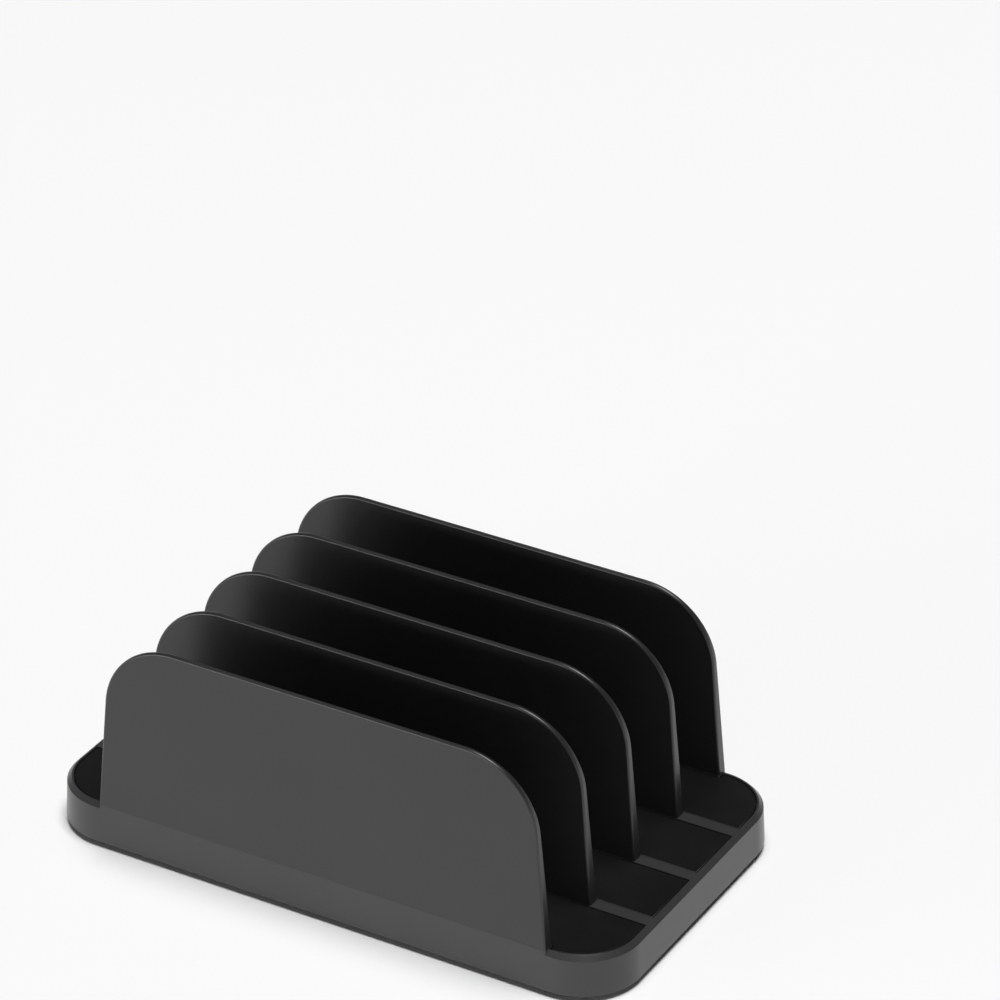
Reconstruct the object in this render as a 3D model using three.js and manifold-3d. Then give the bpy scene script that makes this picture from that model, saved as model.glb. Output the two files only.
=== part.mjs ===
// Desktop holder: a low hollow base with five upright panels that snap into it,
// and four open slots between them, each with a soft mat on its floor.
// Millimetres. X runs along the slots, Y from front to back, Z up, and the desk is z = 0.

import * as THREE from 'three';
import { mergeVertices } from 'three/addons/utils/BufferGeometryUtils.js';
import Module from 'manifold-3d';

const wasm = await Module();
wasm.setup();

// Base shell
const baseLength = 140;
const baseDepth = 80;
const cornerRadius = 14;
const wallHeight = 8.6; // lower edge up to the chamfer
const wallDraft = 3; // degrees that the outer walls lean in
const wallThickness = 2.4;
const bottomEdge = 0.4; // broken lower edge of the wall
const edgeChamfer = 1; // 45 degree chamfer round the top
const rimLand = 0.4; // flat left between the chamfer and the mats
const deckThickness = 2;
const ribThickness = 1.6;
const ribDepth = 2.4; // below the deck
const crossRibX = 19;

// Panels, all five from one mould
const slotCount = 4;
const panelWidth = 110; // at the foot
const panelHeight = 43.6; // above the foot
const panelSideSlope = 5; // degrees that each side leans in
const panelTopRadius = 17.5;
const panelRoot = 3; // thickness at the foot
const panelDraft = 1.2; // degrees that each face leans in
const panelEdgeRound = 0.5;
const roundLimit = 0.45; // share of the thickness at the top that the edge round may take

// Split snap tongues under each panel
const tongueSpacing = 38;
const tongueWidth = 12;
const tongueThickness = 1.7;
const tongueSlit = 3.6;
const barbReach = 0.8;
const barbHeight = 1.8;
const tongueRoot = 1; // how far a tongue runs up into its panel
const tongueSetback = 0.3; // from the panel's rear face, so that its slot stays out of sight
const fitClearance = 0.2;
const endClearance = 0.1; // at the two ends of a panel's foot
const seatGap = 0.05; // left under pieces that rest on each other

// Silicone slot mats
const matThickness = 1;
const matSink = 0.15; // below the rim
const matGap = 0.3;

// Bottom cover, its screws and the rubber feet
const coverThickness = 1.6;
const coverRecess = 0.4; // above the wall's lower edge
const coverLedge = 1;
const coverGap = 0.3;
const bossDiameter = 6;
const cornerBossInset = 9; // from the side and the end of the base
const screwHeadDiameter = 4.4;
const screwHeadRim = 0.2; // straight edge below the countersink
const screwShankDiameter = 1.7;
const screwLength = 6.4;
const screwClearance = 0.15;
const footDiameter = 12;
const footProud = 1.2; // below the wall
const footRecess = 0.8;
const footEdgeRound = 0.6;
const footInset = 18; // from the side and the end of the base

const cornerSteps = 6; // an arc has twice as many facets
const edgeSteps = 2;
const roundFacets = 24;
const through = 5; // how far a cutter runs past what it cuts
const overlap = 1; // how far two cutters run into each other

// Levels above the desk
const zBase = footProud;
const zWallTop = zBase + wallHeight;
const zRim = zWallTop + edgeChamfer;
const zDeck = zRim - matSink - matThickness - seatGap;
const zDeckUnder = zDeck - deckThickness;
const zRibs = zDeckUnder - ribDepth;
const zCover = zBase + coverRecess;
const zLedge = zCover + coverThickness + seatGap;
const zFootTop = zCover + footRecess - seatGap;

const radians = THREE.MathUtils.degToRad;
const draftInset = (z) => (z - zBase) * Math.tan(radians(wallDraft));
const rimInset = draftInset(zWallTop) + edgeChamfer;

// The first panel's front face is flush with the top of the front wall,
// and the last one's rear face with the rear wall.
const frontFaceY = -baseDepth / 2 + draftInset(zWallTop);
const slotPitch = (-2 * frontFaceY - panelRoot) / slotCount;
const panelFaceY = (panel) => frontFaceY + panel * slotPitch;

const materials = {
  abs: { color: 0x38383a, roughness: 0.5, metalness: 0 },
  silicone: { color: 0x1d1d1f, roughness: 0.75, metalness: 0 },
  rubber: { color: 0x161617, roughness: 0.85, metalness: 0 },
  steel: { color: 0x8b8d90, roughness: 0.35, metalness: 1 },
};

// Closed body from rings of points, each ring with as many points as the next; the ends are capped.
function loft(rings, flatEnds) {
  const count = rings[0].length;
  const positions = rings.flat().flatMap((point) => [point.x, point.y, point.z]);
  const triangles = [];
  for (let ring = 0; ring < rings.length - 1; ring += 1) {
    for (let i = 0; i < count; i += 1) {
      const a = ring * count + i;
      const b = ring * count + ((i + 1) % count);
      triangles.push([a, b, b + count], [a, b + count, a + count]);
    }
  }
  const last = (rings.length - 1) * count;
  for (const [a, b, c] of THREE.ShapeUtils.triangulateShape(flatEnds[0], [])) {
    triangles.push([c, b, a]);
  }
  for (const [a, b, c] of THREE.ShapeUtils.triangulateShape(flatEnds[1], [])) {
    triangles.push([last + a, last + b, last + c]);
  }
  const geometry = new THREE.BufferGeometry();
  geometry.setAttribute('position', new THREE.Float32BufferAttribute(positions, 3));
  geometry.setIndex(triangles.flat());
  return facesOut(geometry);
}

// Turns a closed geometry's triangles round if they point inwards.
function facesOut(geometry) {
  const { array } = geometry.attributes.position;
  const index = Array.from(geometry.index.array);
  const corner = (i) => new THREE.Vector3().fromArray(array, 3 * index[i]);
  let volume = 0;
  for (let i = 0; i < index.length; i += 3) {
    volume += corner(i).dot(corner(i + 1).cross(corner(i + 2)));
  }
  if (volume < 0) geometry.setIndex(index.reverse());
  return geometry;
}

// Body with booleans from a closed geometry, and back again.
function solid(geometry) {
  const bare = geometry.clone();
  bare.deleteAttribute('normal');
  bare.deleteAttribute('uv');
  const merged = mergeVertices(bare, 1e-5);
  return new wasm.Manifold(new wasm.Mesh({
    numProp: 3,
    vertProperties: new Float32Array(merged.attributes.position.array),
    triVerts: new Uint32Array(merged.index.array),
  }));
}

function geometryOf(body) {
  const { vertProperties, triVerts } = body.getMesh();
  const geometry = new THREE.BufferGeometry();
  geometry.setAttribute('position', new THREE.BufferAttribute(vertProperties, 3));
  geometry.setIndex(new THREE.BufferAttribute(triVerts, 1));
  geometry.computeVertexNormals();
  return geometry;
}

function block(x0, x1, y0, y1, z0, z1) {
  const geometry = new THREE.BoxGeometry(x1 - x0, y1 - y0, z1 - z0);
  return solid(geometry.translate((x0 + x1) / 2, (y0 + y1) / 2, (z0 + z1) / 2));
}

function cylinder(x, y, z0, z1, diameter) {
  const geometry = new THREE.CylinderGeometry(diameter / 2, diameter / 2, z1 - z0, roundFacets);
  return solid(geometry.rotateX(Math.PI / 2).translate(x, y, (z0 + z1) / 2));
}

// Outline of the base in plan, moved inwards from its largest size.
function baseOutline(inset) {
  const x = baseLength / 2 - inset;
  const y = baseDepth / 2 - inset;
  const r = cornerRadius - inset;
  const outline = new THREE.Shape();
  outline.moveTo(x - r, -y);
  outline.absarc(x - r, -y + r, r, -Math.PI / 2, 0);
  outline.absarc(x - r, y - r, r, 0, Math.PI / 2);
  outline.absarc(-x + r, y - r, r, Math.PI / 2, Math.PI);
  outline.absarc(-x + r, -y + r, r, Math.PI, 1.5 * Math.PI);
  return outline.getPoints(cornerSteps);
}

// Body with the base's outline, from a list of levels and insets.
function baseLoft(sections) {
  const outlines = sections.map(({ inset }) => baseOutline(inset));
  const lift = (outline, z) => outline.map(({ x, y }) => new THREE.Vector3(x, y, z));
  const rings = outlines.map((outline, i) => lift(outline, sections[i].z));
  return solid(loft(rings, [outlines[0], outlines.at(-1)]));
}

// Plan region between two neighbouring panels, kept clear of them and of the rim by a gap.
// The first and last regions also run round the ends of the outer panels.
function slotFloor(slot, gap, z0, z1) {
  const inset = rimInset + rimLand + gap;
  const region = baseLoft([{ z: z0, inset }, { z: z1, inset }]);
  const isFirst = slot === 0;
  const isLast = slot === slotCount - 1;
  const front = panelFaceY(slot) + panelRoot + gap;
  const back = panelFaceY(slot + 1) - gap;
  const y0 = isFirst ? -baseDepth : front;
  const y1 = isLast ? baseDepth : back;
  const below = z0 - through;
  const above = z1 + through;
  let floor = region.intersect(block(-baseLength, baseLength, y0, y1, below, above));
  const half = panelWidth / 2 + gap;
  if (isFirst) floor = floor.subtract(block(-half, half, -baseDepth, front, below, above));
  if (isLast) floor = floor.subtract(block(-half, half, back, baseDepth, below, above));
  return floor;
}

// Front view of a panel above its foot: sloping sides and a level top joined by two arcs.
function panelOutline(inset) {
  const slope = radians(panelSideSlope);
  const foot = panelWidth / 2 - inset / Math.cos(slope);
  const radius = panelTopRadius - inset;
  const arcZ = panelHeight - panelTopRadius;
  const arcX = foot - (radius + arcZ * Math.sin(slope)) / Math.cos(slope);
  const outline = new THREE.Shape();
  outline.moveTo(-foot, 0);
  outline.lineTo(foot, 0);
  outline.absarc(arcX, arcZ, radius, slope, Math.PI / 2);
  outline.absarc(-arcX, arcZ, radius, Math.PI / 2, Math.PI - slope);
  return outline.getPoints(cornerSteps);
}

// Panel plate standing on z = 0 with its front face at y = 0.
// Both faces lean in, and the edges are rounded.
function panelPlate() {
  const lean = Math.tan(radians(panelDraft));
  const topThickness = panelRoot - 2 * panelHeight * lean;
  const round = Math.min(panelEdgeRound, roundLimit * topThickness);
  const outlines = [];
  const rings = [];
  const addRing = (turn, place) => {
    const outline = panelOutline(round * (1 - Math.sin(turn)));
    const depth = round * (1 - Math.cos(turn));
    outlines.push(outline);
    rings.push(outline.map(({ x, y }) => new THREE.Vector3(x, place(y, depth), y)));
  };
  for (let i = 0; i <= edgeSteps; i += 1) {
    addRing((i / edgeSteps) * (Math.PI / 2), (z, depth) => z * lean + depth);
  }
  for (let i = edgeSteps; i >= 0; i -= 1) {
    addRing((i / edgeSteps) * (Math.PI / 2), (z, depth) => panelRoot - z * lean - depth);
  }
  return solid(loft(rings, [outlines[0], outlines.at(-1)]));
}

const tongueXs = [-tongueSpacing, 0, tongueSpacing];
const gripDepth = zWallTop + seatGap - zDeckUnder + seatGap; // from a panel's foot down to its barbs
const tongueDepth = gripDepth + barbHeight;
const tongueBack = panelRoot - tongueSetback;

// Split tongue below a panel's foot: two legs that spring together, with a barb on the outside of each.
function snapTongue(x) {
  const half = tongueWidth / 2;
  const slit = tongueSlit / 2;
  const outline = new THREE.Shape();
  outline.moveTo(-half, tongueRoot);
  outline.lineTo(-half, -gripDepth);
  outline.lineTo(-half - barbReach, -gripDepth);
  outline.lineTo(-half + barbReach, -tongueDepth);
  outline.lineTo(-slit, -tongueDepth);
  outline.lineTo(-slit, -slit);
  outline.absarc(0, -slit, slit, Math.PI, 0, true);
  outline.lineTo(slit, -tongueDepth);
  outline.lineTo(half - barbReach, -tongueDepth);
  outline.lineTo(half + barbReach, -gripDepth);
  outline.lineTo(half, -gripDepth);
  outline.lineTo(half, tongueRoot);
  outline.closePath();
  const options = { depth: tongueThickness, bevelEnabled: false, curveSegments: cornerSteps };
  const geometry = new THREE.ExtrudeGeometry(outline, options);
  return solid(geometry.rotateX(Math.PI / 2).translate(x, tongueBack, 0));
}

function panelGeometry() {
  return geometryOf(tongueXs.reduce((panel, x) => panel.add(snapTongue(x)), panelPlate()));
}

// Notch for a panel's foot, with ends that lean as the panel's sides do.
function footNotch() {
  const half = panelWidth / 2 + endClearance;
  const height = edgeChamfer + through;
  const halfTop = half - height * Math.tan(radians(panelSideSlope));
  const outline = new THREE.Shape();
  outline.moveTo(-half, 0);
  outline.lineTo(half, 0);
  outline.lineTo(halfTop, height);
  outline.lineTo(-halfTop, height);
  outline.closePath();
  const options = { depth: panelRoot + 2 * fitClearance, bevelEnabled: false };
  const geometry = new THREE.ExtrudeGeometry(outline, options);
  return solid(geometry.rotateX(Math.PI / 2).translate(0, panelRoot + fitClearance, zWallTop));
}

// Room that a panel's foot and tongues take in the base, with clearance all round.
function panelSeat(panel) {
  let seat = footNotch();
  const slotFront = tongueBack - tongueThickness - fitClearance;
  const slotBack = tongueBack + fitClearance;
  const slotHalf = tongueWidth / 2 + fitClearance;
  const barbHalf = tongueWidth / 2 + barbReach + fitClearance;
  const zTip = zWallTop - tongueDepth - fitClearance;
  for (const x of tongueXs) {
    const slot = block(
      x - slotHalf, x + slotHalf, slotFront, slotBack, zDeckUnder - overlap, zWallTop + overlap,
    );
    const barbRoom = block(
      x - barbHalf, x + barbHalf, slotFront, slotBack + coverLedge, zTip, zDeckUnder,
    );
    seat = seat.add(slot).add(barbRoom);
  }
  const isLast = panel === slotCount;
  if (isLast) return seat.rotate([0, 0, 180]).translate([0, -frontFaceY, 0]);
  return seat.translate([0, panelFaceY(panel), 0]);
}

const bossX = baseLength / 2 - cornerBossInset;
const bossY = baseDepth / 2 - cornerBossInset;
const bossPlaces = [
  [-bossX, -bossY], [bossX, -bossY], [-crossRibX, 0], [crossRibX, 0], [-bossX, bossY], [bossX, bossY],
];
const footX = baseLength / 2 - footInset;
const footY = baseDepth / 2 - footInset;
const footPlaces = [[-footX, -footY], [footX, -footY], [-footX, footY], [footX, footY]];

// Ribs and screw bosses on the underside of the deck.
function deckStiffeners() {
  const halfRib = ribThickness / 2;
  const top = zDeckUnder + deckThickness / 2;
  const stiffeners = bossPlaces.map(([x, y]) => cylinder(x, y, zLedge, top, bossDiameter));
  for (let slot = 0; slot < slotCount; slot += 1) {
    const y = (panelFaceY(slot) + panelRoot + panelFaceY(slot + 1)) / 2;
    stiffeners.push(block(-baseLength, baseLength, y - halfRib, y + halfRib, zRibs, top));
  }
  for (const x of [-crossRibX, crossRibX]) {
    stiffeners.push(block(x - halfRib, x + halfRib, -baseDepth, baseDepth, zRibs, top));
  }
  return stiffeners.reduce((all, next) => all.add(next));
}

function baseShellGeometry() {
  const outer = baseLoft([
    { z: zBase, inset: bottomEdge },
    { z: zBase + bottomEdge, inset: draftInset(zBase + bottomEdge) },
    { z: zWallTop, inset: draftInset(zWallTop) },
    { z: zRim, inset: rimInset },
  ]);
  const coverOpening = baseLoft([
    { z: zBase - through, inset: wallThickness },
    { z: zLedge, inset: wallThickness },
  ]);
  const cavity = baseLoft([
    { z: zLedge - overlap, inset: wallThickness + coverLedge },
    { z: zDeckUnder, inset: wallThickness + coverLedge },
  ]);
  let shell = outer.subtract(coverOpening).subtract(cavity).add(deckStiffeners().intersect(outer));
  for (let slot = 0; slot < slotCount; slot += 1) {
    shell = shell.subtract(slotFloor(slot, 0, zDeck, zRim + through));
  }
  for (let panel = 0; panel <= slotCount; panel += 1) {
    shell = shell.subtract(panelSeat(panel));
  }
  const pilot = screwShankDiameter + 2 * screwClearance;
  const pilotTop = zCover + screwLength + screwClearance;
  for (const [x, y] of bossPlaces) {
    shell = shell.subtract(cylinder(x, y, zLedge - overlap, pilotTop, pilot));
  }
  return geometryOf(shell);
}

// Countersunk screw along +Z with its head's flat end at z = 0; grown by a clearance it is its own hole.
function screwProfile(clearance) {
  const head = screwHeadDiameter / 2 + clearance;
  const shank = screwShankDiameter / 2 + clearance;
  const start = -clearance * through;
  const points = [
    [0, start], [head, start], [head, screwHeadRim], [shank, screwHeadRim + head - shank],
    [shank, screwLength - shank], [0, screwLength],
  ];
  const profile = points.map(([r, z]) => new THREE.Vector2(r, z));
  return new THREE.LatheGeometry(profile, roundFacets).rotateX(Math.PI / 2);
}

function coverGeometry() {
  const inset = wallThickness + coverGap;
  let cover = baseLoft([{ z: zCover, inset }, { z: zCover + coverThickness, inset }]);
  const screwHole = solid(screwProfile(screwClearance));
  for (const [x, y] of bossPlaces) {
    cover = cover.subtract(screwHole.translate([x, y, zCover]));
  }
  const recess = footDiameter + 2 * fitClearance;
  for (const [x, y] of footPlaces) {
    cover = cover.subtract(cylinder(x, y, zCover - through, zCover + footRecess, recess));
  }
  return geometryOf(cover);
}

function footGeometry() {
  const r = footDiameter / 2;
  const profile = new THREE.Path();
  profile.moveTo(0, 0);
  profile.lineTo(r - footEdgeRound, 0);
  profile.absarc(r - footEdgeRound, footEdgeRound, footEdgeRound, -Math.PI / 2, 0);
  profile.lineTo(r, zFootTop);
  profile.lineTo(0, zFootTop);
  return new THREE.LatheGeometry(profile.getPoints(edgeSteps), roundFacets).rotateX(Math.PI / 2);
}

const holder = new THREE.Group();

function place(name, geometry, material, x = 0, y = 0, z = 0, turn = 0) {
  const mesh = new THREE.Mesh(geometry, new THREE.MeshStandardMaterial(materials[material]));
  mesh.name = name;
  mesh.position.set(x, y, z);
  mesh.rotation.z = turn;
  holder.add(mesh);
}

place('base_shell', baseShellGeometry(), 'abs');
place('base_cover', coverGeometry(), 'abs');

const panel = panelGeometry();
const panelZ = zWallTop + seatGap;
place('front_panel', panel, 'abs', 0, frontFaceY, panelZ);
for (let i = 1; i < slotCount; i += 1) {
  place(`divider_${i}`, panel, 'abs', 0, panelFaceY(i), panelZ);
}
place('rear_panel', panel, 'abs', 0, -frontFaceY, panelZ, Math.PI);

for (let slot = 0; slot < slotCount; slot += 1) {
  const mat = slotFloor(slot, matGap, zDeck + seatGap, zDeck + seatGap + matThickness);
  place(`slot_mat_${slot + 1}`, geometryOf(mat), 'silicone');
}
bossPlaces.forEach(([x, y], i) => {
  place(`cover_screw_${i + 1}`, screwProfile(0), 'steel', x, y, zCover);
});
footPlaces.forEach(([x, y], i) => {
  place(`rubber_foot_${i + 1}`, footGeometry(), 'rubber', x, y);
});

export default holder;
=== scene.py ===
from math import cos, pi, radians, sin, tan

import bmesh
import bpy
from mathutils import Matrix, Vector


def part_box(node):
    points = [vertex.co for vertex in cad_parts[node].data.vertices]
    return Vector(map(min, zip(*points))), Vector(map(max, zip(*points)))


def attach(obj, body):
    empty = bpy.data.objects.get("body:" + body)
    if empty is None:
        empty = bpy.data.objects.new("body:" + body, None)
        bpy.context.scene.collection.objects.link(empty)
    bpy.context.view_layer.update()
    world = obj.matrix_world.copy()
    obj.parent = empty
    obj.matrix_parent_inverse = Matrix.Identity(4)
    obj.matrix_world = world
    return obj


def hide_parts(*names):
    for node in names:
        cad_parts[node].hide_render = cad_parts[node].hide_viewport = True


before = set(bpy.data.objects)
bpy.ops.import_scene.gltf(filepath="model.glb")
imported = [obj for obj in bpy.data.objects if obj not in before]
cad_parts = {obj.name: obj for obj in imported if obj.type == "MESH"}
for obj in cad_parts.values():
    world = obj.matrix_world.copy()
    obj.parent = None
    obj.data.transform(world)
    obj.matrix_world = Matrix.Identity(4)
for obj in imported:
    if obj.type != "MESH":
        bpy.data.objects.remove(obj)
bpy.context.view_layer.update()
scene = bpy.context.scene
mm = 0.001
overcut = 1 * mm  # how far a cutting tool reaches past the surface that it opens
axisGap = 0.01 * mm  # radius of the small flat that closes a turned piece on its axis
print("frame loaded with", len(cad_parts), "nodes")


# Small helpers for meshes

def newPiece(name, mesh):
    piece = bpy.data.objects.new(name, mesh)
    scene.collection.objects.link(piece)
    return piece


def pieceFromRings(name, rings):
    # closed skin through rings of equal length, with a flat face on both ends
    bm = bmesh.new()
    loops = [[bm.verts.new(point) for point in ring] for ring in rings]
    for lower, upper in zip(loops, loops[1:]):
        for i in range(len(lower)):
            j = (i + 1) % len(lower)
            bm.faces.new((lower[i], lower[j], upper[j], upper[i]))
    bm.faces.new(loops[0][::-1])
    bm.faces.new(loops[-1])
    bmesh.ops.recalc_face_normals(bm, faces=bm.faces)
    mesh = bpy.data.meshes.new(name)
    bm.to_mesh(mesh)
    bm.free()
    return newPiece(name, mesh)


def turnedPiece(name, profile, sides):
    # profile of (radius, height) points, turned round Z
    rings = []
    for radius, height in profile:
        angles = [2 * pi * i / sides for i in range(sides)]
        rings.append([(radius * cos(a), radius * sin(a), height) for a in angles])
    return pieceFromRings(name, rings)


def boxPiece(name, low, high):
    (x0, y0, z0), (x1, y1, z1) = low, high
    plan = [(x0, y0), (x1, y0), (x1, y1), (x0, y1)]
    return pieceFromRings(name, [[(x, y, z) for x, y in plan] for z in (z0, z1)])


def moved(piece, x, y, z=0):
    piece.data.transform(Matrix.Translation((x, y, z)))
    return piece


def settle(piece):
    # turns the evaluated result into the piece's own plain mesh
    graph = bpy.context.evaluated_depsgraph_get()
    mesh = bpy.data.meshes.new_from_object(piece.evaluated_get(graph))
    piece.modifiers.clear()
    old = piece.data
    piece.data = mesh
    bpy.data.meshes.remove(old)
    return piece


def carve(piece, tools, operation="DIFFERENCE"):
    bench = bpy.data.collections.new("tools")
    scene.collection.children.link(bench)
    for tool in tools:
        scene.collection.objects.unlink(tool)
        bench.objects.link(tool)
    step = piece.modifiers.new("carve", "BOOLEAN")
    step.operand_type = "COLLECTION"
    step.collection = bench
    step.operation = operation
    step.solver = "EXACT"
    settle(piece)
    for tool in tools:
        bpy.data.meshes.remove(tool.data)
    bpy.data.collections.remove(bench)
    return piece


def shade(piece, sharpAngle=30):
    # smooth rounds beside flat faces that stay flat
    mesh = piece.data
    mesh.polygons.foreach_set("use_smooth", [True] * len(mesh.polygons))
    mesh.set_sharp_from_angle(angle=radians(sharpAngle))
    weigh = piece.modifiers.new("weigh", "WEIGHTED_NORMAL")
    weigh.keep_sharp = True
    return settle(piece)


def arcPoints(cx, cy, radius, start, end, steps):
    angles = [start + (end - start) * i / steps for i in range(steps + 1)]
    return [(cx + radius * cos(a), cy + radius * sin(a)) for a in angles]


def filletProfile(corners, steps=4):
    # corners are (x, y, radius); each corner with a radius becomes a short curve
    points = []
    for i, (x, y, radius) in enumerate(corners):
        here = Vector((x, y))
        if radius == 0 or i in (0, len(corners) - 1):
            points.append((x, y))
            continue
        before = (Vector(corners[i - 1][:2]) - here).normalized()
        after = (Vector(corners[i + 1][:2]) - here).normalized()
        half = before.angle(after) / 2
        reach = radius / tan(half)
        for k in range(steps + 1):
            t = k / steps
            bend = (1 - t) ** 2 * before * reach + t ** 2 * after * reach
            points.append(tuple(here + bend))
    return points


# Small helpers for materials

def hexColour(text):
    channels = [int(text[i:i + 2], 16) / 255 for i in (1, 3, 5)]
    linear = [c / 12.92 if c <= 0.04045 else ((c + 0.055) / 1.055) ** 2.4 for c in channels]
    return (*linear, 1.0)


def addNode(tree, kind, settings=None, values=None, links=None):
    node = tree.nodes.new(kind)
    for name, value in (settings or {}).items():
        setattr(node, name, value)
    for name, value in (values or {}).items():
        node.inputs[name].default_value = value
    for name, source in (links or {}).items():
        tree.links.new(source, node.inputs[name])
    return node


# Noise of all materials: its build, and the levels at which the clouds start and end
cloudNoise = {"Detail": 3.0, "Roughness": 0.55}
grainNoise = {"Detail": 2.0, "Roughness": 0.6}
cloudSpan = (0.2, 0.8)


def grainedMaterial(look):
    # moulded or plated finish: two close tones in broad clouds, uneven gloss and a fine grain in the bump
    material = bpy.data.materials.new(look["name"])
    material.use_nodes = True
    tree = material.node_tree
    tree.nodes.clear()
    place = addNode(tree, "ShaderNodeTexCoord").outputs["Object"]
    cloud = addNode(tree, "ShaderNodeTexNoise", values={"Scale": 1 / look["cloudSize"], **cloudNoise},
                    links={"Vector": place})
    tone = addNode(tree, "ShaderNodeValToRGB", links={"Fac": cloud.outputs["Fac"]})
    tone.color_ramp.interpolation = "EASE"
    for end, side in enumerate(("darkTone", "lightTone")):
        tone.color_ramp.elements[end].position = cloudSpan[end]
        tone.color_ramp.elements[end].color = hexColour(look[side])
    gloss = addNode(tree, "ShaderNodeMapRange", {"interpolation_type": "SMOOTHSTEP"}, values={
                    "From Min": cloudSpan[0], "From Max": cloudSpan[1],
                    "To Min": look["roughness"][0], "To Max": look["roughness"][1]},
                    links={"Value": cloud.outputs["Fac"]})
    grain = addNode(tree, "ShaderNodeTexNoise", values={"Scale": 1 / look["grainSize"], **grainNoise},
                    links={"Vector": place})
    bump = addNode(tree, "ShaderNodeBump", values={"Strength": look["grainStrength"],
                   "Distance": look["grainDepth"]}, links={"Height": grain.outputs["Fac"]})
    shader = addNode(tree, "ShaderNodeBsdfPrincipled",
                     values={"IOR": look["ior"], "Metallic": look["metallic"]},
                     links={"Base Color": tone.outputs["Color"], "Roughness": gloss.outputs["Result"],
                            "Normal": bump.outputs["Normal"]})
    addNode(tree, "ShaderNodeOutputMaterial", links={"Surface": shader.outputs["BSDF"]})
    return material


# ABS from a spark-eroded mould: satin black that greys where it mirrors the bright floor.
# Its grain is about 0.1 mm; it is drawn at 0.3 mm so that it shows.
absLook = {
    "name": "mouldedPanelAbs", "darkTone": "#272728", "lightTone": "#2b2b2c", "cloudSize": 30 * mm,
    "roughness": (0.28, 0.33), "grainSize": 0.3 * mm, "grainDepth": 0.02 * mm, "grainStrength": 0.6,
    "ior": 1.54, "metallic": 0.0}
panelAbs = grainedMaterial(absLook)
# The base and its cover take the same ABS painted a shade lighter than the panels: painted light, so that
# the wall reads brighter than the panels.
baseAbsPaintedLighter = grainedMaterial({
    **absLook, "name": "mouldedBaseAbs", "darkTone": "#343435", "lightTone": "#383839"})
# Compression moulded silicone: soft black, duller than the ABS, and darkened further as painted shade of
# devices standing in the slots.
mouldedSilicone = grainedMaterial({
    "name": "mouldedSilicone", "darkTone": "#090909", "lightTone": "#0d0d0d", "cloudSize": 18 * mm,
    "roughness": (0.4, 0.46), "grainSize": 0.35 * mm, "grainDepth": 0.03 * mm, "grainStrength": 0.5,
    "ior": 1.41, "metallic": 0.0})
# Moulded rubber of the feet: the dullest black here.
mouldedRubber = grainedMaterial({
    "name": "mouldedRubber", "darkTone": "#131313", "lightTone": "#191919", "cloudSize": 6 * mm,
    "roughness": (0.75, 0.85), "grainSize": 0.3 * mm, "grainDepth": 0.03 * mm, "grainStrength": 0.6,
    "ior": 1.52, "metallic": 0.0})
# Zinc plated steel screws: bright grey metal with slightly uneven gloss.
zincSteel = grainedMaterial({
    "name": "zincPlatedSteel", "darkTone": "#8d8f92", "lightTone": "#a3a5a8", "cloudSize": 2 * mm,
    "roughness": (0.25, 0.38), "grainSize": 0.2 * mm, "grainDepth": 0.01 * mm, "grainStrength": 0.25,
    "ior": 1.5, "metallic": 1.0})
print("materials ready")


# Sizes that the frame gives

baseLow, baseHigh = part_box("base_shell")
panelLow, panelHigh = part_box("front_panel")
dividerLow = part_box("divider_1")[0]
matLow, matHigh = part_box("slot_mat_2")
coverLow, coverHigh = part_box("base_cover")
baseLength = baseHigh.x - baseLow.x
baseDepth = baseHigh.y - baseLow.y
zBase, zRim = baseLow.z, baseHigh.z
panelRoot = panelHigh.y - panelLow.y
panelHalf = panelHigh.x
slotPitch = dividerLow.y - panelLow.y
panelNodes = ["front_panel", "divider_1", "divider_2", "divider_3", "rear_panel"]
matNodes = ["slot_mat_1", "slot_mat_2", "slot_mat_3", "slot_mat_4"]
footNodes = [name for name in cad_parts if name.startswith("rubber_foot")]
screwNodes = [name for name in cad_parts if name.startswith("cover_screw")]


def boxMiddle(node):
    low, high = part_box(node)
    return (low + high) / 2


# Base shell

baseLook = {
    "cornerRadius": 14 * mm, "cornerSteps": 24, "wallDraft": 3, "chamfer": 1 * mm, "rimLand": 0.4 * mm,
    "bottomRound": 0.6 * mm, "edgeRound": 0.06 * mm, "wall": 2.4 * mm, "ledge": 1 * mm, "deck": 2 * mm,
    "fit": 0.2 * mm, "floorGap": 0.05 * mm, "pocketFlare": 0.12 * mm, "flareReach": 0.1 * mm,
    "ribThickness": 1.6 * mm, "ribDepth": 2.4 * mm, "crossRib": 19 * mm, "bossDiameter": 6 * mm,
    "bossSides": 32, "pilotDiameter": 2 * mm, "pilotSides": 24, "pilotTop": 0.2 * mm,
    # the straight lands below the outer panels lie this far inside the wall, and start this far down in it
    "landInset": 0.005 * mm, "landDrop": 0.1 * mm}
panelLook = {
    "sideSlope": 5, "topRadius": 17.5 * mm, "arcSteps": 32, "draft": 1.2, "edgeRound": 0.5 * mm,
    "edgeSteps": 6}
tongueLook = {
    "spacing": 38 * mm, "width": 12 * mm, "thickness": 1.7 * mm, "setback": 0.3 * mm, "root": 1 * mm,
    "slit": 3.6 * mm, "slitSteps": 12, "barb": 0.8 * mm, "barbHeight": 1.8 * mm, "barbRoom": 1 * mm}
zWallTop = zRim - baseLook["chamfer"]
wallLean = tan(radians(baseLook["wallDraft"]))
rimInset = (zWallTop - zBase) * wallLean + baseLook["chamfer"]
zDeck = matLow.z - baseLook["floorGap"]
zDeckUnder = zDeck - baseLook["deck"]
zLedge = coverHigh.z + baseLook["floorGap"]
tongueXs = [-tongueLook["spacing"], 0, tongueLook["spacing"]]
panelFoot = zWallTop + baseLook["floorGap"]
panelHeight = panelHigh.z - panelFoot
# front face of each panel at its foot
panelYs = [panelLow.y + i * slotPitch for i in range(len(panelNodes))]


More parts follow.
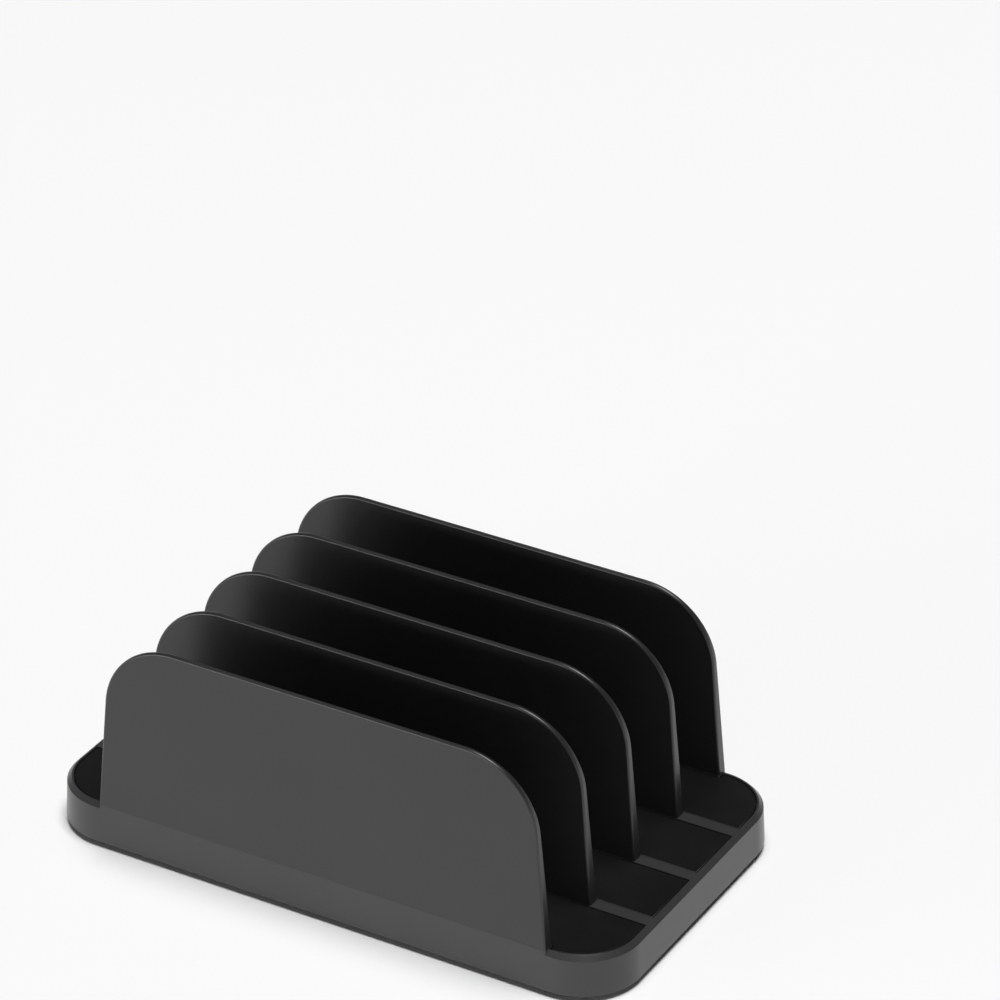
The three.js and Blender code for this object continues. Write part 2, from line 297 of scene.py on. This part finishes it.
def baseRing(inset, z):
    x, y = baseLength / 2 - inset, baseDepth / 2 - inset
    r = baseLook["cornerRadius"] - inset
    steps = baseLook["cornerSteps"]
    plan = arcPoints(x - r, -y + r, r, -pi / 2, 0, steps)
    plan += arcPoints(x - r, y - r, r, 0, pi / 2, steps)
    plan += arcPoints(-x + r, y - r, r, pi / 2, pi, steps)
    plan += arcPoints(-x + r, -y + r, r, pi, 1.5 * pi, steps)
    return [(px, py, z) for px, py in plan]


def slotPlan(slot, gap):
    # outline of the floor between two panels; the outer two also run round the ends of the outer panels
    inset = rimInset + baseLook["rimLand"] + gap
    x, y = baseLength / 2 - inset, baseDepth / 2 - inset
    r = baseLook["cornerRadius"] - inset
    last = len(matNodes) - 1
    front = panelYs[slot] + panelRoot + gap
    back = panelYs[slot + 1] - gap
    if 0 < slot < last:
        return [(-x, front), (x, front), (x, back), (-x, back)]
    half = panelHalf + gap
    if slot == last:
        front, back = -back, -front
    steps = baseLook["cornerSteps"]
    bend = panelLook["edgeRound"] + gap  # round the panel's own rounded edge
    plan = [(-x, back)] + arcPoints(-x + r, -y + r, r, pi, 1.5 * pi, steps) + [(-half, -y)]
    plan += arcPoints(-half + bend, front - bend, bend, pi, pi / 2, panelLook["edgeSteps"])
    plan += arcPoints(half - bend, front - bend, bend, pi / 2, 0, panelLook["edgeSteps"]) + [(half, -y)]
    plan += arcPoints(x - r, -y + r, r, 1.5 * pi, 2 * pi, steps) + [(x, back)]
    if slot == last:
        plan = [(-px, -py) for px, py in plan]
    return plan


def slotPiece(name, slot, profile):
    rings = [[(x, y, z) for x, y in slotPlan(slot, gap)] for gap, z in profile]
    return pieceFromRings(name, rings)


def panelPlan(inset):
    slope = radians(panelLook["sideSlope"])
    foot = panelHalf - inset / cos(slope)
    radius = panelLook["topRadius"] - inset
    arcZ = panelHeight - panelLook["topRadius"]
    arcX = foot - (radius + arcZ * sin(slope)) / cos(slope)
    steps = panelLook["arcSteps"]
    plan = [(-foot, 0), (foot, 0)] + arcPoints(arcX, arcZ, radius, slope, pi / 2, steps)
    return plan + arcPoints(-arcX, arcZ, radius, pi / 2, pi - slope, steps)


def panelSkin(name):
    # plate with rounded edges, its foot on z = 0 and its middle on y = 0
    lean = tan(radians(panelLook["draft"]))
    edge, steps = panelLook["edgeRound"], panelLook["edgeSteps"]
    turns = [pi / 2 * i / steps for i in range(steps + 1)]
    rings = []
    for side in (-1, 1):
        for turn in turns[::-side]:
            depth = edge * (1 - cos(turn))
            plan = panelPlan(edge * (1 - sin(turn)))
            rings.append([(x, side * (panelRoot / 2 - z * lean - depth), z) for x, z in plan])
    return pieceFromRings(name, rings)


def landPieces():
    # below the outer panels the wall runs straight up to the rim, and the chamfer stops at their ends
    inset = baseLook["landInset"]
    levels = (zWallTop - baseLook["chamfer"], zRim - inset)
    lands = []
    for y in (panelYs[0], panelYs[-1]):
        land = pieceFromRings("land", [baseRing((z - zBase) * wallLean + inset, z) for z in levels])
        blank = moved(panelSkin("blank"), 0, y + panelRoot / 2, zWallTop - baseLook["landDrop"])
        lands.append(carve(land, [blank], "INTERSECT"))
    return lands


def hollowPieces():
    # hollow underside with the ledge that the cover sits on; ribs and screw bosses are left standing
    look = baseLook
    inner = look["wall"] + look["ledge"]
    hollow = pieceFromRings("hollow", [baseRing(inner, z) for z in (zLedge - overcut, zDeckUnder)])
    zRibs = zDeckUnder - look["ribDepth"]
    halfRib = look["ribThickness"] / 2
    keep = []
    for front, back in zip(panelYs, panelYs[1:]):
        y = (front + panelRoot + back) / 2
        keep.append(boxPiece("rib", (-baseLength, y - halfRib, zRibs), (baseLength, y + halfRib, zRim)))
    for x in (-look["crossRib"], look["crossRib"]):
        keep.append(boxPiece("rib", (x - halfRib, -baseDepth, zRibs), (x + halfRib, baseDepth, zRim)))
    for node in screwNodes:
        profile = [(look["bossDiameter"] / 2, z) for z in (zLedge, zRim)]
        keep.append(moved(turnedPiece("boss", profile, look["bossSides"]), *boxMiddle(node).xy))
    carve(hollow, keep)
    opening = pieceFromRings("opening", [baseRing(look["wall"], z) for z in (zBase - overcut, zLedge)])
    return [hollow, opening]


def pocketPieces():
    # pockets for the mats, with a broken edge at the rim
    flare, reach = baseLook["pocketFlare"], baseLook["flareReach"]
    edge = [(0, zDeck), (0, zRim - flare), (-flare - reach, zRim + reach)]
    return [slotPiece("pocket", slot, edge) for slot in range(len(matNodes))]


def snapPieces():
    # snap slots and room for the barbs under each panel
    fit = baseLook["fit"]
    back = panelRoot - tongueLook["setback"]
    near, far = back - tongueLook["thickness"] - fit, back + fit
    half = tongueLook["width"] / 2 + fit
    wide = half + tongueLook["barb"]
    zTip = panelLow.z - fit
    pieces = []
    for y in panelYs:
        if y == panelYs[-1]:  # the rear panel is turned round
            slot = (y + panelRoot - far, y + panelRoot - near)
            room = (slot[0] - tongueLook["barbRoom"], slot[1])
        else:
            slot = (y + near, y + far)
            room = (slot[0], slot[1] + tongueLook["barbRoom"])
        for x in tongueXs:
            pieces.append(boxPiece("slot", (x - half, slot[0], zTip), (x + half, slot[1], zRim + overcut)))
            pieces.append(boxPiece("room", (x - wide, room[0], zTip), (x + wide, room[1], zDeckUnder)))
    return pieces


def pilotPieces():
    pieces = []
    for node in screwNodes:
        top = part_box(node)[1].z + baseLook["pilotTop"]
        profile = [(baseLook["pilotDiameter"] / 2, z) for z in (zLedge - overcut, top)]
        pieces.append(moved(turnedPiece("pilot", profile, baseLook["pilotSides"]), *boxMiddle(node).xy))
    return pieces


def makeBaseShell():
    look = baseLook
    bend = look["edgeRound"]
    profile = filletProfile([
        (look["wall"] - look["fit"], zBase, 0), (0, zBase, look["bottomRound"]),
        (rimInset - look["chamfer"], zWallTop, bend), (rimInset, zRim, bend),
        (rimInset + look["rimLand"] / 2, zRim, 0)])
    shell = pieceFromRings("base_shell_moulding", [baseRing(inset, z) for inset, z in profile])
    carve(shell, landPieces(), "UNION")
    carve(shell, hollowPieces() + pocketPieces() + snapPieces() + pilotPieces())
    return shade(shell)


shellPiece = makeBaseShell()
print("base shell", len(shellPiece.data.polygons), "faces")


# Panels: one moulding, set out in a row by geometry nodes

def makePanel():
    panel = panelSkin("panel")
    # its outline starts at the foot of the chamfer, but it stands on the rim
    foot = zRim - zWallTop
    carve(panel, [boxPiece("below", (-baseLength, -baseDepth, -overcut), (baseLength, baseDepth, foot))])
    # split snap tongues under the foot
    grip = panelFoot - zDeckUnder + baseLook["floorGap"]
    deep = grip + tongueLook["barbHeight"]
    half, slit, barb = tongueLook["width"] / 2, tongueLook["slit"] / 2, tongueLook["barb"]
    leg = [(half, foot + tongueLook["root"]), (half, -grip), (half + barb, -grip), (half - barb, -deep),
           (slit, -deep)]
    plan = leg + arcPoints(0, -slit, slit, 0, pi, tongueLook["slitSteps"]) + [(-x, z) for x, z in leg[::-1]]
    high = panelRoot / 2 - tongueLook["setback"]
    low = high - tongueLook["thickness"]
    tongues = []
    for x in tongueXs:
        tongues.append(pieceFromRings("tongue", [[(x + px, y, z) for px, z in plan] for y in (low, high)]))
    carve(panel, tongues, "UNION")
    return shade(panel)


def newTree(name, inputs):
    # geometry node group whose inputs are its geometry and those given by name and kind
    tree = bpy.data.node_groups.new(name, "GeometryNodeTree")
    for label, kind in {"Geometry": "Geometry", **inputs}.items():
        tree.interface.new_socket(label, in_out="INPUT", socket_type="NodeSocket" + kind)
    tree.interface.new_socket("Geometry", in_out="OUTPUT", socket_type="NodeSocketGeometry")
    return tree, addNode(tree, "NodeGroupInput").outputs


def copyOnto(tree, points, model, spin):
    # plain copies of a model on points, as the group's result
    info = addNode(tree, "GeometryNodeObjectInfo", links={"Object": model})
    copies = addNode(tree, "GeometryNodeInstanceOnPoints", links={
        "Points": points, "Instance": info.outputs["Geometry"], "Rotation": spin})
    plain = addNode(tree, "GeometryNodeRealizeInstances", links={"Geometry": copies.outputs["Instances"]})
    addNode(tree, "NodeGroupOutput", links={"Geometry": plain.outputs["Geometry"]})
    return tree


def rowTree():
    # a row of copies at an even pitch, the last one turned round
    tree, given = newTree("panelRow", {
        "Model": "Object", "Count": "Int", "Pitch": "Float", "First": "Vector"})
    step = addNode(tree, "ShaderNodeCombineXYZ", links={"Y": given["Pitch"]})
    line = addNode(tree, "GeometryNodeMeshLine", links={
        "Count": given["Count"], "Start Location": given["First"], "Offset": step.outputs["Vector"]})
    index = addNode(tree, "GeometryNodeInputIndex")
    end = addNode(tree, "ShaderNodeMath", {"operation": "SUBTRACT"}, {1: 1.0}, {0: given["Count"]})
    last = addNode(tree, "ShaderNodeMath", {"operation": "COMPARE"}, {2: 0.1},
                   {0: index.outputs["Index"], 1: end.outputs["Value"]})
    turn = addNode(tree, "ShaderNodeMath", {"operation": "MULTIPLY"}, {1: pi}, {0: last.outputs["Value"]})
    spin = addNode(tree, "ShaderNodeCombineXYZ", links={"Z": turn.outputs["Value"]})
    return copyOnto(tree, line.outputs["Mesh"], given["Model"], spin.outputs["Vector"])


def scatterTree():
    # copies on given points, each turned by a seeded random angle
    tree, given = newTree("copiesOnPoints", {"Model": "Object", "Most Turn": "Float", "Seed": "Int"})
    chance = addNode(tree, "FunctionNodeRandomValue", {"data_type": "FLOAT"},
                     links={3: given["Most Turn"], "Seed": given["Seed"]})
    spin = addNode(tree, "ShaderNodeCombineXYZ", links={"Z": chance.outputs[1]})
    return copyOnto(tree, given["Geometry"], given["Model"], spin.outputs["Vector"])


def runTree(name, points, tree, inputs):
    mesh = bpy.data.meshes.new(name)
    mesh.from_pydata(points, [], [])
    piece = newPiece(name, mesh)
    step = piece.modifiers.new("nodes", "NODES")
    step.node_group = tree
    sockets = {item.name: item.identifier for item in tree.interface.items_tree if item.in_out == "INPUT"}
    for label, value in inputs.items():
        step[sockets[label]] = value
    settle(piece)
    bpy.data.meshes.remove(inputs["Model"].data)
    return piece


def splitRow(row, names):
    # one object for each panel of the row, told apart by where it stands
    pieces = []
    for i, name in enumerate(names):
        bm = bmesh.new()
        bm.from_mesh(row.data)
        middle = panelYs[i] + panelRoot / 2
        others = [v for v in bm.verts if abs(v.co.y - middle) > slotPitch / 2]
        bmesh.ops.delete(bm, geom=others, context="VERTS")
        mesh = bpy.data.meshes.new(name)
        bm.to_mesh(mesh)
        bm.free()
        pieces.append(shade(newPiece(name, mesh)))
    bpy.data.meshes.remove(row.data)
    return pieces


panelRow = runTree("panel_row", [(0, 0, 0)], rowTree(), {
    "Model": makePanel(), "Count": len(panelNodes), "Pitch": slotPitch,
    "First": (0, panelLow.y + panelRoot / 2, panelFoot)})
panelPieces = splitRow(panelRow, [name + "_moulding" for name in panelNodes])
print("panels", len(panelPieces[0].data.polygons), "faces each")


# Slot mats

matLook = {"gap": 0.2 * mm, "edgeRound": 0.2 * mm, "edgeSteps": 3, "sharpAngle": 50}


def makeMat(slot, name):
    bend, steps = matLook["edgeRound"], matLook["edgeSteps"]
    profile = [(matLook["gap"], matLow.z)]
    for i in range(steps + 1):
        turn = pi / 2 * i / steps
        profile.append((matLook["gap"] + bend * (1 - cos(turn)), matHigh.z - bend * (1 - sin(turn))))
    return shade(slotPiece(name, slot, profile), matLook["sharpAngle"])


matPieces = [makeMat(i, name + "_silicone") for i, name in enumerate(matNodes)]
print("mats", len(matPieces), "pieces")


# Bottom cover

coverLook = {
    "edgeRound": 0.25 * mm, "topRound": 0.125 * mm, "border": 2 * mm, "footClearance": 0.2 * mm,
    "leadDrop": 0.0625 * mm, "recessSides": 64, "holeClearance": 0.15 * mm, "sinkSides": 48}
# the head's cone is at 45 degrees
screwLook = {
    "rim": 0.2 * mm, "rimRound": 0.08 * mm, "shank": 1.7 * mm, "thread": 0.28 * mm, "threadPitch": 0.8 * mm,
    "recessWidth": 0.75 * mm, "recessLength": 2.5 * mm, "recessDepth": 0.9 * mm, "recessTaper": 0.55,
    "edgeSteps": 3, "sides": 40, "mostTurn": pi / 2, "seed": 7}


def makeCover():
    look = coverLook
    bend = look["edgeRound"]
    outer = (baseLength - (coverHigh.x - coverLow.x)) / 2
    inner = outer + look["border"]
    profile = filletProfile([
        (inner, coverLow.z, 0), (outer, coverLow.z, bend), (outer, coverHigh.z, look["topRound"]),
        (inner, coverHigh.z, 0)])
    cover = pieceFromRings("base_cover_moulding", [baseRing(inset, z) for inset, z in profile])
    tools = []
    for node in footNodes:
        low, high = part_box(node)
        radius = (high.x - low.x) / 2 + look["footClearance"]
        recess = [(radius + bend, coverLow.z - overcut), (radius + bend, coverLow.z - look["leadDrop"]),
                  (radius, coverLow.z + bend), (radius, high.z + baseLook["floorGap"])]
        tools.append(moved(turnedPiece("recess", recess, look["recessSides"]), *boxMiddle(node).xy))
    for node in screwNodes:
        low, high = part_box(node)
        head = (high.x - low.x) / 2 + look["holeClearance"]
        hole = screwLook["shank"] / 2 + look["holeClearance"]
        zCone = low.z + screwLook["rim"]
        sink = [(head, low.z - overcut), (head, zCone), (hole, zCone + head - hole),
                (hole, coverHigh.z + overcut)]
        tools.append(moved(turnedPiece("sink", sink, look["sinkSides"]), *boxMiddle(node).xy))
    carve(cover, tools)
    return shade(cover)


coverPiece = makeCover()
print("cover", len(coverPiece.data.polygons), "faces")


# Rubber feet and cover screws, set on their places by geometry nodes

footLook = {
    "edgeRound": 0.6 * mm, "topRound": 0.15 * mm, "edgeSteps": 6, "sides": 64, "mostTurn": 0.0, "seed": 1}


def makeFoot():
    low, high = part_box(footNodes[0])
    radius, height = (high.x - low.x) / 2, high.z - low.z
    profile = [(axisGap, 0, 0), (radius, 0, footLook["edgeRound"]), (radius, height, footLook["topRound"]),
               (axisGap, height, 0)]
    return shade(turnedPiece("foot", filletProfile(profile, footLook["edgeSteps"]), footLook["sides"]))


def makeScrew():
    # countersunk head with a cross recess, and a shank with thread ridges
    look = screwLook
    low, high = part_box(screwNodes[0])
    head, length, shank = (high.x - low.x) / 2, high.z - low.z, look["shank"] / 2
    zCone = look["rim"] + head - shank
    profile = [(axisGap, 0, 0), (head, 0, look["rimRound"]), (head, look["rim"], 0), (shank, zCone, 0)]
    ridge = look["thread"] / 2
    z = zCone + look["threadPitch"]
    while z < length - shank - look["threadPitch"]:
        profile += [(shank - ridge, z - ridge, 0), (shank, z, 0), (shank - ridge, z + ridge, 0)]
        z += look["threadPitch"]
    profile += [(shank, length - shank, 0), (axisGap, length, 0)]
    screw = turnedPiece("screw", filletProfile(profile, look["edgeSteps"]), look["sides"])
    long, wide = look["recessLength"] / 2, look["recessWidth"] / 2
    corners = [(-1, -1), (1, -1), (1, 1), (-1, 1)]
    levels = [(1, -overcut), (1, 0), (look["recessTaper"], look["recessDepth"])]
    bars = []
    for x, y in ((long, wide), (wide, long)):
        rings = [[(px * x * s, py * y * s, z) for px, py in corners] for s, z in levels]
        bars.append(pieceFromRings("bar", rings))
    carve(screw, bars)
    return shade(screw)


def setOut(name, model, nodes, look, tree):
    places = [(boxMiddle(node).x, boxMiddle(node).y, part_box(node)[0].z) for node in nodes]
    return runTree(name, places, tree, {"Model": model, "Most Turn": look["mostTurn"], "Seed": look["seed"]})


pointCopies = scatterTree()
feetPiece = setOut("rubber_feet", makeFoot(), footNodes, footLook, pointCopies)
screwsPiece = setOut("cover_screws", makeScrew(), screwNodes, screwLook, pointCopies)
print("feet and screws placed")


# What each piece stands for

def standFor(piece, slot, material, *nodes):
    piece.data.materials.clear()
    piece.data.materials.append(material)
    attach(piece, "root")
    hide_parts(*nodes)


# base and cover get the ABS copy painted a shade lighter, as painted light
standFor(shellPiece, "abs", baseAbsPaintedLighter, "base_shell")
standFor(coverPiece, "abs", baseAbsPaintedLighter, "base_cover")
for piece, node in zip(panelPieces, panelNodes):
    standFor(piece, "abs", panelAbs, node)
for piece, node in zip(matPieces, matNodes):
    # the mats' black is partly their own tone and partly painted shade of devices in the slots
    standFor(piece, "silicone", mouldedSilicone, node)
standFor(feetPiece, "rubber", mouldedRubber, *footNodes)
standFor(screwsPiece, "steel", zincSteel, *screwNodes)
print("pieces stand for", len(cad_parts), "nodes")


# Floor, light and camera

studio = {
    "floorSize": 30.0, "floorDrop": 0.02 * mm, "floorTone": "#fcfcfc", "worldTone": "#ffffff",
    # pale surround at the horizon that fades to a dim ceiling between two heights in degrees
    "horizonStrength": 0.4, "ceilingStrength": 0.04, "fadeFrom": 5, "fadeTo": 18,
    # name: place, width and height, power in watts
    "lamps": {"topSoftbox": ((0.5, -0.2, 5.9), (2.6, 2.6), 336.0),
              "frontSoftbox": ((-3.0, -5.0, 0.42), (5.0, 0.7), 120.0)}}
photoView = {
    "azimuth": 30, "elevation": 30, "fieldOfView": 11, "imageSize": 1000, "clip": (0.05, 20),
    # the middle of the base's lower front edge: its pixel, distance in metres and inset from the base's box
    "edgePixel": (317.9, 914.5), "edgeDepth": 1.0923, "edgeInset": 0.4 * mm}


def makeFloor():
    half = studio["floorSize"] / 2
    mesh = bpy.data.meshes.new("floor")
    drop = -studio["floorDrop"]
    mesh.from_pydata([(-half, -half, drop), (half, -half, drop), (half, half, drop), (-half, half, drop)],
                     [], [(0, 1, 2, 3)])
    floor = newPiece("floor", mesh)
    paper = bpy.data.materials.new("palePaperFloor")
    paper.use_nodes = True
    tree = paper.node_tree
    tree.nodes.clear()
    matte = addNode(tree, "ShaderNodeBsdfDiffuse", values={"Color": hexColour(studio["floorTone"])})
    addNode(tree, "ShaderNodeOutputMaterial", links={"Surface": matte.outputs["BSDF"]})
    mesh.materials.append(paper)


def makeLight():
    world = bpy.data.worlds.new("studio")
    scene.world = world
    world.use_nodes = True
    tree = world.node_tree
    tree.nodes.clear()
    ray = addNode(tree, "ShaderNodeTexCoord").outputs["Generated"]
    rise = addNode(tree, "ShaderNodeSeparateXYZ", links={"Vector": ray}).outputs["Z"]
    level = addNode(tree, "ShaderNodeMapRange", {"interpolation_type": "SMOOTHSTEP"}, {
        "From Min": sin(radians(studio["fadeFrom"])), "From Max": sin(radians(studio["fadeTo"])),
        "To Min": studio["horizonStrength"], "To Max": studio["ceilingStrength"]}, {"Value": rise})
    sky = addNode(tree, "ShaderNodeBackground", values={"Color": hexColour(studio["worldTone"])},
                  links={"Strength": level.outputs["Result"]})
    addNode(tree, "ShaderNodeOutputWorld", links={"Surface": sky.outputs["Background"]})
    for name, (place, (width, height), power) in studio["lamps"].items():
        data = bpy.data.lights.new(name, "AREA")
        data.shape = "RECTANGLE"
        data.size, data.size_y = width, height
        data.energy = power
        lamp = bpy.data.objects.new(name, data)
        scene.collection.objects.link(lamp)
        lamp.location = place
        lamp.rotation_euler = (-Vector(place)).to_track_quat("-Z", "Y").to_euler()


def makeCamera():
    a, e = radians(photoView["azimuth"]), radians(photoView["elevation"])
    right = Vector((cos(a), sin(a), 0))
    up = Vector((-sin(a) * sin(e), cos(a) * sin(e), cos(e)))
    back = right.cross(up)
    half = photoView["imageSize"] / 2
    pixels = half / tan(radians(photoView["fieldOfView"] / 2))
    depth = photoView["edgeDepth"]
    across, down = [(p - half) / pixels * depth for p in photoView["edgePixel"]]
    edge = Vector((0, baseLow.y + photoView["edgeInset"], zBase))
    data = bpy.data.cameras.new("photoCamera")
    data.angle = radians(photoView["fieldOfView"])
    data.clip_start, data.clip_end = photoView["clip"]
    camera = bpy.data.objects.new("photoCamera", data)
    scene.collection.objects.link(camera)
    camera.matrix_world = (Matrix.Translation(edge - right * across + up * down + back * depth)
                           @ Matrix((right, up, back)).transposed().to_4x4())
    scene.camera = camera


makeFloor()
makeLight()
makeCamera()
scene.view_settings.view_transform = "Standard"
print("stage ready")

bpy.context.view_layer.update()
